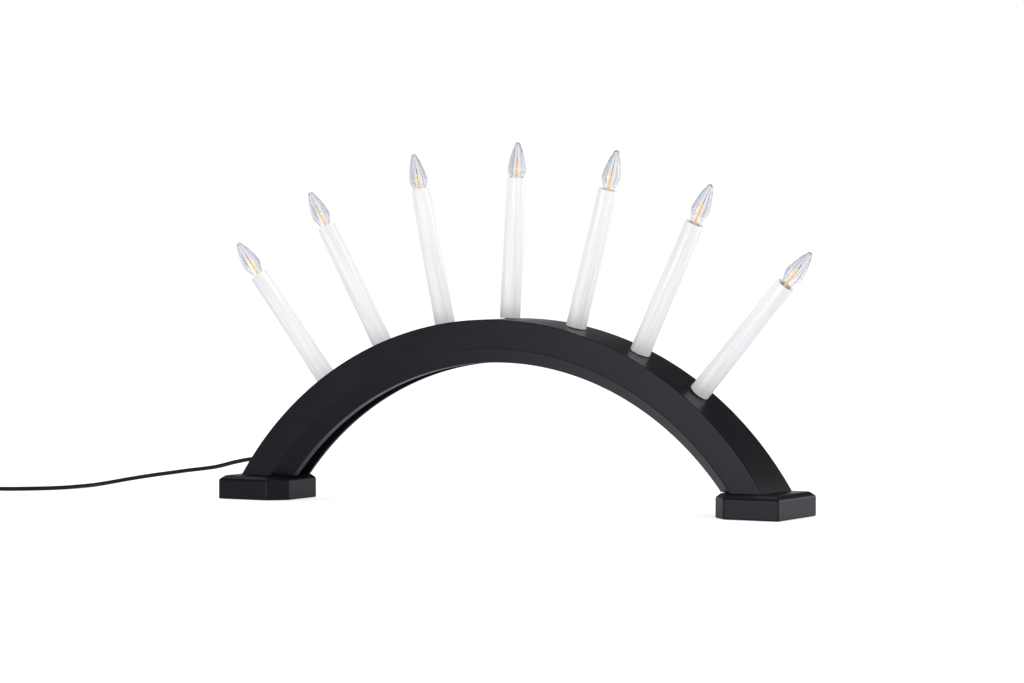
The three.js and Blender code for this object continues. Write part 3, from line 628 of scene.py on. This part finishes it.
glassTree, glassKeys = newTree("fluted_glass", glassSetup)
glassKeys["Flutes"] = glassTree.interface.new_socket(
    "Flutes", in_out="INPUT", socket_type="NodeSocketInt").identifier
given = addNode(glassTree, "NodeGroupInput").outputs
grid = addNode(glassTree, "GeometryNodeMeshGrid", {
    "Size X": 1.0, "Size Y": 1.0, "Vertices X": glassGrid["around"], "Vertices Y": glassGrid["along"]})
flat = addNode(glassTree, "ShaderNodeSeparateXYZ", {
    0: addNode(glassTree, "GeometryNodeInputPosition").outputs[0]}).outputs
values = {"x": flat["X"], "y": flat["Y"], **{label: given[label] for label in glassKeys}}
for name, operation, *terms in (
        ("u", "ADD", "x", 0.5), ("turn", "MULTIPLY", "u", 2 * math.pi),
        # down the outside in the first half, up the inside in the second
        ("v", "MULTIPLY_ADD", "y", 2.0, 1.0), ("inside", "GREATER_THAN", "v", 1.0),
        ("fluted", "MULTIPLY_ADD", "inside", glassGrid["innerFlutes"] - 1, 1.0),
        ("down", "MULTIPLY", "v", "Length"), ("back", "SUBTRACT", 2.0, "v"),
        ("bore", "SUBTRACT", "Length", "Cavity Top"), ("up", "MULTIPLY_ADD", "back", "bore", "Cavity Top"),
        ("swap", "SUBTRACT", "up", "down"), ("t", "MULTIPLY_ADD", "swap", "inside", "down"),
        # from the tip out to the widest place
        ("near", "DIVIDE", "t", "Shoulder"), ("left", "SUBTRACT", 1.0, "near"),
        ("left0", "MAXIMUM", "left", 0.0), ("bend", "POWER", "left0", glassGrid["tipCurve"]),
        ("rise", "SUBTRACT", 1.0, "bend"), ("swell", "SUBTRACT", "Radius", "Tip Radius"),
        ("upper", "MULTIPLY_ADD", "rise", "swell", "Tip Radius"),
        # from there in to the neck
        ("past", "SUBTRACT", "t", "Shoulder"), ("neckTop", "SUBTRACT", "Length", "Neck Length"),
        ("belly", "SUBTRACT", "neckTop", "Shoulder"), ("fall", "DIVIDE", "past", "belly"),
        ("fall1", "MINIMUM", "fall", 1.0), ("fall0", "MAXIMUM", "fall1", 0.0),
        ("fallTurn", "MULTIPLY", "fall0", math.pi), ("wave", "COSINE", "fallTurn"),
        ("drop", "MULTIPLY_ADD", "wave", 0.5, 0.5), ("waist", "SUBTRACT", "Radius", "Neck Radius"),
        ("lower", "MULTIPLY_ADD", "drop", "waist", "Neck Radius"), ("isUpper", "LESS_THAN", "t", "Shoulder"),
        ("step", "SUBTRACT", "upper", "lower"), ("plain", "MULTIPLY_ADD", "step", "isUpper", "lower"),
        # wall and rounded tip
        ("thick", "MULTIPLY", "Wall", "inside"), ("walled", "SUBTRACT", "plain", "thick"),
        ("start", "MULTIPLY", "Cavity Top", "inside"), ("fromTip", "SUBTRACT", "t", "start"),
        ("nose", "DIVIDE", "fromTip", "Tip Round"), ("nose1", "MINIMUM", "nose", 1.0),
        ("noseRest", "SUBTRACT", 2.0, "nose1"), ("noseArea", "MULTIPLY", "nose1", "noseRest"),
        ("noseRound", "SQRT", "noseArea"), ("closed", "MULTIPLY", "walled", "noseRound"),
        # ribs, fading out at the neck
        ("halfTurn", "MULTIPLY", "turn", 0.5), ("ribTurn", "MULTIPLY", "halfTurn", "Flutes"),
        ("ribWave", "SINE", "ribTurn"), ("rib", "ABSOLUTE", "ribWave"), ("valley", "SUBTRACT", 1.0, "rib"),
        ("toNeck", "SUBTRACT", "neckTop", "t"), ("fade", "DIVIDE", "toNeck", "Flute Fade"),
        ("fade1", "MINIMUM", "fade", 1.0), ("fade0", "MAXIMUM", "fade1", 0.0),
        ("share", "DIVIDE", "closed", "Radius"), ("cut", "MULTIPLY", "valley", "Flute Depth"),
        ("cutFade", "MULTIPLY", "cut", "fade0"), ("cutShare", "MULTIPLY", "cutFade", "share"),
        ("cutOut", "MULTIPLY", "cutShare", "fluted"), ("r", "SUBTRACT", "closed", "cutOut"),
        ("valleyFade", "MULTIPLY", "valley", "fade0"),
        ("cos", "COSINE", "turn"), ("sin", "SINE", "turn"), ("outX", "MULTIPLY", "r", "cos"),
        ("outY", "MULTIPLY", "r", "sin"), ("outZ", "SUBTRACT", "Length", "t")):
    inputs = {k: values.get(term, term) for k, term in enumerate(terms)}
    values[name] = addNode(glassTree, "ShaderNodeMath", inputs, operation=operation).outputs[0]
spot = addNode(glassTree, "ShaderNodeCombineXYZ", {
    "X": values["outX"], "Y": values["outY"], "Z": values["outZ"]})
# The valley share is stored for the glass shader, which paints grey shade lines along it
marked = addNode(glassTree, "GeometryNodeStoreNamedAttribute", {
    "Geometry": grid.outputs["Mesh"], "Name": "valley", "Value": values["valleyFade"]},
    data_type="FLOAT", domain="POINT")
rolled = addNode(glassTree, "GeometryNodeSetPosition", {
    "Geometry": marked.outputs[0], "Position": spot.outputs[0]})
sealed = addNode(glassTree, "GeometryNodeMergeByDistance", {
    "Geometry": rolled.outputs[0], "Distance": glassGrid["weld"] * mm})
facing = addNode(glassTree, "GeometryNodeFlipFaces", {"Mesh": sealed.outputs[0]})
smooth = addNode(glassTree, "GeometryNodeSetShadeSmooth", {"Geometry": facing.outputs[0]})
closeTree(glassTree, smooth.outputs[0], clearGlass)
glassMould = growPiece("glass_mould", glassTree, glassKeys, glassSetup, {"Flutes": glassGrid["flutes"]})

# Screw thread: a ridge wound round the cap
threadSetup = {"Core Radius": 4.35, "Pitch": 1.81, "Length": 7.2, "Ridge": 0.42}
threadGrid = {"perTurn": 40, "facets": 8}

threadTree, threadKeys = newTree("cap_thread", threadSetup)
given = addNode(threadTree, "NodeGroupInput").outputs
rounds = addNode(threadTree, "ShaderNodeMath", {0: given["Length"], 1: given["Pitch"]}, operation="DIVIDE")
helix = addNode(threadTree, "GeometryNodeCurveSpiral", {
    "Resolution": threadGrid["perTurn"], "Rotations": rounds.outputs[0], "Height": given["Length"],
    "Start Radius": given["Core Radius"], "End Radius": given["Core Radius"]})
ridge = addNode(threadTree, "GeometryNodeCurvePrimitiveCircle", {
    "Resolution": threadGrid["facets"], "Radius": given["Ridge"]})
wound = addNode(threadTree, "GeometryNodeCurveToMesh", {
    "Curve": helix.outputs[0], "Profile Curve": ridge.outputs["Curve"], "Fill Caps": True})
closeTree(threadTree, wound.outputs[0], finishes["rolled_brass"])
threadMould = growPiece("thread_mould", threadTree, threadKeys, threadSetup)

# Bulbs: the glass on its cap, and the filament on its mount with the wire above
coreFinishes = [finishes[k] for k in ("pressed_glass_mount", "led_phosphor", "drawn_nickel_wire")]
for n, (place, capTop) in enumerate(zip(candlePlaces, capTops), 1):
    turned = Matrix.Rotation(math.radians(bulbSetup["turn"]), 4, "Z")
    onCap = place @ Matrix.Translation((0, 0, capTop * mm)) @ turned
    glassMesh = glassMould.data.copy()
    glassMesh.transform(onCap)
    settle(addPiece(f"glass_{n}", glassMesh, []), f"bulb_{n}", "clear_glass", f"bulb_glass_{n}")
    cap = bmesh.new()
    cap.from_mesh(turnedMesh(f"cap_{n}", bulbSetup["cap"], bulbSetup["capFacets"], onCap))
    threadMesh = threadMould.data.copy()
    threadMesh.transform(onCap @ Matrix.Translation((0, 0, bulbSetup["threadFoot"] * mm)))
    cap.from_mesh(threadMesh)
    capPiece = addPiece(f"cap_{n}", meshFrom(cap, f"cap_{n}", sharpen=False), [finishes["rolled_brass"]])
    settle(capPiece, f"bulb_{n}", "brass", f"bulb_cap_{n}")
    core = bmesh.new()
    for k, shape in enumerate(bulbSetup[part] for part in ("mount", "filament", "wire")):
        bands = [k] * (len(shape) - 1)
        core.from_mesh(turnedMesh(f"core_{n}", shape, bulbSetup["coreFacets"], onCap, bands=bands))
    filament = addPiece(f"filament_{n}", meshFrom(core, f"filament_{n}", sharpen=False), coreFinishes)
    settle(filament, f"bulb_{n}", "led_phosphor", f"bulb_filament_{n}")
bpy.data.objects.remove(glassMould)
bpy.data.objects.remove(threadMould)
print("bulbs fitted")


# Wiring loom in the groove, from the grip past the lampholders' stems
loomSetup = {
    "radius": 1.5, "entry": 25.0, "seat": 14.3, "lineRadius": 256.84, "from": -46.5, "to": 39.87, "y": 2.5,
    "points": 16, "spacing": 4, "facets": 12, "facing": (0, 1, 0.3),
}
loomPoints = [Vector(cordSetup["outlet"]) - outletWay * loomSetup[k] for k in ("seat", "entry")]
loomSpans = loomSetup["points"] - 1
for k in range(loomSetup["points"]):
    angle = math.radians(loomSetup["from"] + (loomSetup["to"] - loomSetup["from"]) * k / loomSpans)
    loomPoints.append(archPoint(loomSetup["lineRadius"], angle, loomSetup["y"]))
loomLine = smoothRoute(loomPoints, loomSetup["spacing"])
loomAngles = [2 * math.pi * k / loomSetup["facets"] for k in range(loomSetup["facets"])]
rings = []
for k, point in enumerate(loomLine):
    way = (loomLine[min(k + 1, len(loomLine) - 1)] - loomLine[max(k - 1, 0)]).normalized()
    side = way.cross(Vector(loomSetup["facing"])).normalized()
    over = way.cross(side)
    rings.append([(point + (side * math.cos(a) + over * math.sin(a)) * loomSetup["radius"]) * mm
                  for a in loomAngles])
loom = addPiece("groove_loom", loftMesh("groove_loom", rings), [finishes["extruded_black_pvc"]])
settle(loom, "candle_arch", "black_pvc", "wiring_loom")

# Cord grip: a tapered sleeve with shallow flex rings
gripSetup = {
    "radius": 3.2, "seat": 14.0, "shoulder": 5.0, "tail": 24.0, "endRadius": 2.4, "endEase": 0.3,
    "facets": 36, "rings": 4, "ringDepth": 0.35, "ringShape": ((0.35, 0), (0.45, 1), (0.6, 1), (0.7, 0)),
}
gripRadius, gripSeat, gripTail = (gripSetup[k] for k in ("radius", "seat", "tail"))
gripShape = [(0, -gripSeat), (gripRadius, -gripSeat), (gripRadius, gripSetup["shoulder"])]
run = gripTail - gripSetup["shoulder"]
for k in range(gripSetup["rings"]):
    for share, depth in gripSetup["ringShape"]:
        along = (k + share) / gripSetup["rings"]
        taper = between(gripRadius, gripSetup["endRadius"], along)
        gripShape.append((taper - depth * gripSetup["ringDepth"], gripSetup["shoulder"] + along * run))
gripShape += [(gripSetup["endRadius"], gripTail - gripSetup["endEase"]),
              (gripSetup["endRadius"] - gripSetup["endEase"], gripTail), (0, gripTail)]
gripTurn = outletWay.to_track_quat("Z", "Y").to_matrix().to_4x4()
gripPlace = Matrix.Translation(Vector(cordSetup["outlet"]) * mm) @ gripTurn
gripMesh = turnedMesh("strain_relief", gripShape, gripSetup["facets"], gripPlace)
grip = addPiece("strain_relief", gripMesh, [finishes["extruded_black_pvc"]])
settle(grip, "candle_arch", "black_pvc", "cord_grip")

# Tie: a flat band round the coil, with rounded corners
tieInner = cordSetup["coilInner"] - cordRadius - cordSetup["gap"]
tieOuter = cordSetup["coilInner"] + coilRise + cordRadius + cordSetup["gap"]
tieLow = coilFloor - cordRadius - cordSetup["gap"]
tieTop = coilFloor + turnPitch * (cordSetup["layers"] - 1) + cordRadius + cordSetup["gap"]
tieTurn = Matrix.Rotation(math.radians(cordSetup["tieAngle"]), 4, "Z")
tieFrame = Matrix.Translation(Vector((*cordSetup["coilCentre"], 0)) * mm) @ tieTurn
cornerSteps = 4
band = bmesh.new()
edges = []  # inner front, inner rear, outer front, outer rear
for grow, corner in zip((0, cordSetup["tieThickness"]), cordSetup["tieCorners"]):
    corners = [Vector(point) for point in (
        (tieInner - grow, tieLow - grow), (tieOuter + grow, tieLow - grow),
        (tieOuter + grow, tieTop + grow), (tieInner - grow, tieTop + grow))]
    eased = easedOutline(corners, corner, cornerSteps)
    for y in (-cordSetup["tieWidth"] / 2, cordSetup["tieWidth"] / 2):
        edges.append([band.verts.new(tieFrame @ (Vector((x, y, z)) * mm)) for x, z in eased])
for first, second in ((0, 1), (1, 3), (3, 2), (2, 0)):
    near, far = edges[first], edges[second]
    for k in range(len(near)):
        n = (k + 1) % len(near)
        band.faces.new((near[k], near[n], far[n], far[k])).smooth = True
bmesh.ops.recalc_face_normals(band, faces=band.faces)
tie = addPiece("coil_tie", meshFrom(band, "coil_tie"), [finishes["extruded_black_pvc"]])
settle(tie, "candle_arch", "black_pvc", "cord_tie")

# Plug: a flat two-pin body with a ringed strain relief, and pins with their insulating sleeves. A power of 1
# makes a ring round, and a smaller one squarer
plugSetup = {
    "width": 33.0, "thickness": 13.7, "shoulder": 15.0, "flare": 6.0,
    "waistWidth": 20.0, "waistThickness": 13.0,
    "neckWidth": 15.0, "neckThickness": 11.0, "neckStep": 1.5, "neckRise": 0.8, "length": 34.0, "facets": 48,
    "relief": 22.0, "reliefRadius": 2.5, "reliefFlare": 1.2, "reliefEase": 0.4, "reliefRings": 5,
    "reliefShape": ((0.1, 0), (0.5, 0), (0.58, 0.5), (0.92, 0.5)),
    "neckPower": 0.6, "waistPower": 0.55, "frontPower": 0.35, "neckSteps": 4, "flareSteps": 8,
    "frontEdge": ((0.9, 0), (0.2, 0.5), (0, 1.6)),
    "pinRadius": 2.0, "pinLength": 19.0, "pinSpacing": 18.6, "pinCover": 10.0, "pinSeat": 4.7,
    "pinTip": ((1.5, 1), (0.5, 0.8), (0, 0.5)), "pinFacets": 32,
}
plugFrame = Matrix.Translation(plugStart * mm) @ Matrix.Rotation(math.atan2(leaving.y, leaving.x), 4, "Z")
plugWidth, plugThickness, relief = (plugSetup[k] for k in ("width", "thickness", "relief"))
neckWidth, neckThickness = plugSetup["neckWidth"], plugSetup["neckThickness"]
waistWidth, waistThickness = plugSetup["waistWidth"], plugSetup["waistThickness"]
neckPower, waistPower, frontPower = (plugSetup[k] for k in ("neckPower", "waistPower", "frontPower"))


def plugRing(along, width, thickness, power):
    ring = []
    for k in range(plugSetup["facets"]):
        turn = 2 * math.pi * k / plugSetup["facets"]
        across, up = [math.copysign(abs(v) ** power, v) for v in (math.cos(turn), math.sin(turn))]
        ring.append(plugFrame @ (Vector((along, across * width / 2, up * thickness / 2)) * mm))
    return ring


front = relief + plugSetup["length"]
neckStart = relief + plugSetup["neckRise"]
flareEnd = front - plugSetup["shoulder"]
flareStart = flareEnd - plugSetup["flare"]
reliefEnd = 2 * plugSetup["reliefRadius"] - plugSetup["reliefEase"]
stations = [(0, reliefEnd, reliefEnd, 1)]
for k in range(plugSetup["reliefRings"]):
    for share, depth in plugSetup["reliefShape"]:
        along = (k + share) / plugSetup["reliefRings"]
        girth = 2 * (plugSetup["reliefRadius"] + plugSetup["reliefFlare"] * along - depth)
        stations.append((along * relief, girth, girth, 1))
stations += [
    (relief, neckWidth - plugSetup["neckStep"], neckThickness - plugSetup["neckStep"], neckPower),
    (neckStart, neckWidth, neckThickness, neckPower)]
for k in range(1, plugSetup["neckSteps"] + 1):
    s = k / plugSetup["neckSteps"]
    stations.append((between(neckStart, flareStart, s), between(neckWidth, waistWidth, s),
                     between(neckThickness, waistThickness, s), between(neckPower, waistPower, s)))
for k in range(1, plugSetup["flareSteps"] + 1):
    s = k / plugSetup["flareSteps"]
    ease = easeInOut(s)
    stations.append((between(flareStart, flareEnd, s), between(waistWidth, plugWidth, ease),
                     between(waistThickness, plugThickness, ease), between(waistPower, frontPower, ease)))
stations += [(front - back, plugWidth - less, plugThickness - less, frontPower)
             for back, less in plugSetup["frontEdge"]]
plugMesh = loftMesh("plug_moulding", [plugRing(*station) for station in stations])
plug = addPiece("plug_moulding", plugMesh, [finishes["extruded_black_pvc"]])
settle(plug, "candle_arch", "black_pvc", "plug_body")
pinRadius, pinReach, pinSeat = (plugSetup[k] for k in ("pinRadius", "pinLength", "pinSeat"))
pinShape = [(0, -pinSeat), (pinRadius, -pinSeat), (pinRadius, plugSetup["pinCover"])]
pinShape += [(pinRadius * share, pinReach - back) for back, share in plugSetup["pinTip"]]
pinShape.append((0, pinReach))
pinBands = [1, 1, 0, 0, 0, 0]  # insulating sleeve, then bare metal
for name, side in (("left", 1), ("right", -1)):
    stand = Matrix.Translation(Vector((front, side * plugSetup["pinSpacing"] / 2, 0)) * mm)
    place = plugFrame @ stand @ Matrix.Rotation(math.pi / 2, 4, "Y")
    pinMesh = turnedMesh(f"pin_{name}", pinShape, plugSetup["pinFacets"], place, bands=pinBands)
    pin = addPiece(f"pin_{name}", pinMesh, [finishes["plated_steel"], finishes["extruded_black_pvc"]])
    settle(pin, "candle_arch", "steel", f"plug_pin_{name}")
print("plug and grip moulded")


# Studio: pale floor, even light all round and soft boxes. Mirrored rays meet a room that is white along the
# horizon behind the object and dims upwards and towards the front, and cards that light no matt surface
floorLook = {
    "colour": "#c3c3c7", "roughness": 0.75, "specular": 0.2, "lift": 0.64, "mirrored": 0.07, "bounce": 0.4,
    "span": 14.0, "drop": 0.2,
}
studioLook = {
    "ambient": (1.0, 0.95), "front": 0.1, "above": 0.05, "depthFrom": (-0.4, 0.6), "riseFrom": (0.05, 0.33),
    "aim": (0, 0, 0.12),
}
softBoxes = {
    "key_softbox": {"place": (1.6, -1.2, 1.0), "size": 1.2, "power": 4, "lights": True},
    "front_card": {"place": (-0.34, -1.7, 0.22), "size": 0.62, "power": 8.4, "lights": False},
    "top_softbox": {"place": (0.0, 0.2, 1.9), "size": 1.5, "power": 6, "lights": True},
    "side_softbox": {"place": (1.15, 1.3, 0.3), "size": 0.9, "power": 3.5, "lights": True},
    "left_card": {"place": (-1.23, 0.24, 1.5), "size": 0.7, "power": 1.4, "lights": False},
    "right_card": {"place": (1.6, 0.1, 0.2), "size": 0.6, "power": 2.0, "lights": False},
}

# Matt paper: plain and pale, lifted to white where the camera sees it, also through glass
paleFloor, tree, shader = newMaterial("matt_paper_sweep", {
    "Base Color": floorLook["colour"], "Roughness": floorLook["roughness"],
    "Specular IOR Level": floorLook["specular"]})
rays = addNode(tree, "ShaderNodeLightPath").outputs
seen = addNode(tree, "ShaderNodeMath", {
    0: rays["Is Camera Ray"], 1: rays["Is Transmission Ray"]}, operation="MAXIMUM")
glow = addNode(tree, "ShaderNodeMath", {0: seen.outputs[0], 1: floorLook["lift"]}, operation="MULTIPLY")
for ray, share in (("Is Glossy Ray", "mirrored"), ("Is Diffuse Ray", "bounce")):
    glow = addNode(tree, "ShaderNodeMath", {
        0: rays[ray], 1: floorLook[share], 2: glow.outputs[0]}, operation="MULTIPLY_ADD")
shader.inputs["Emission Color"].default_value = (1, 1, 1, 1)
tree.links.new(glow.outputs[0], shader.inputs["Emission Strength"])
reachOut = floorLook["span"] / 2
floorMesh = bpy.data.meshes.new("floor")
floorCorners = [(x * reachOut, y * reachOut, -floorLook["drop"] * mm)
                for x, y in ((-1, -1), (1, -1), (1, 1), (-1, 1))]
floorMesh.from_pydata(floorCorners, [], [(0, 1, 2, 3)])
floor = addPiece("floor", floorMesh, [paleFloor])

world = bpy.data.worlds.new("studio")
world.use_nodes = True
scene.world = world
tree = world.node_tree
rays = addNode(tree, "ShaderNodeLightPath").outputs
way = addNode(tree, "ShaderNodeSeparateXYZ", {
    0: addNode(tree, "ShaderNodeTexCoord").outputs["Generated"]}).outputs
depthNear, depthFar = studioLook["depthFrom"]
depth = addNode(tree, "ShaderNodeMapRange", {
    "Value": way["Y"], "From Min": depthNear, "From Max": depthFar,
    "To Min": studioLook["front"], "To Max": 1.0}, interpolation_type="SMOOTHSTEP")
riseLow, riseHigh = studioLook["riseFrom"]
rise = addNode(tree, "ShaderNodeMapRange", {
    "Value": way["Z"], "From Min": riseLow, "From Max": riseHigh,
    "To Min": 1.0, "To Max": studioLook["above"]}, interpolation_type="SMOOTHSTEP")
room = addNode(tree, "ShaderNodeMath", {
    0: depth.outputs["Result"], 1: rise.outputs["Result"]}, operation="MULTIPLY")
ambient = addNode(tree, "ShaderNodeMapRange", {
    "Value": way["Y"], "From Min": -1.0, "From Max": 1.0,
    "To Min": studioLook["ambient"][0], "To Max": studioLook["ambient"][1]})
lit = addNode(tree, "ShaderNodeMix", {
    "Factor": rays["Is Glossy Ray"], 2: ambient.outputs["Result"], 3: room.outputs[0]}, data_type="FLOAT")
seen = addNode(tree, "ShaderNodeMath", {
    0: rays["Is Camera Ray"], 1: rays["Is Transmission Ray"]}, operation="MAXIMUM")
strength = addNode(tree, "ShaderNodeMath", {0: lit.outputs[0], 1: seen.outputs[0]}, operation="MAXIMUM")
background = tree.nodes["Background"]
background.inputs["Color"].default_value = (1, 1, 1, 1)
tree.links.new(strength.outputs[0], background.inputs["Strength"])

for name, box in softBoxes.items():
    lamp = bpy.data.lights.new(name, "AREA")
    lamp.size = box["size"]
    lamp.energy = box["power"]
    lampObject = bpy.data.objects.new(name, lamp)
    lampObject.location = box["place"]
    lampObject.visible_diffuse = box["lights"]
    aimed = Vector(studioLook["aim"]) - Vector(box["place"])
    lampObject.rotation_euler = aimed.to_track_quat("-Z", "Y").to_euler()
    scene.collection.objects.link(lampObject)
print("studio lit")
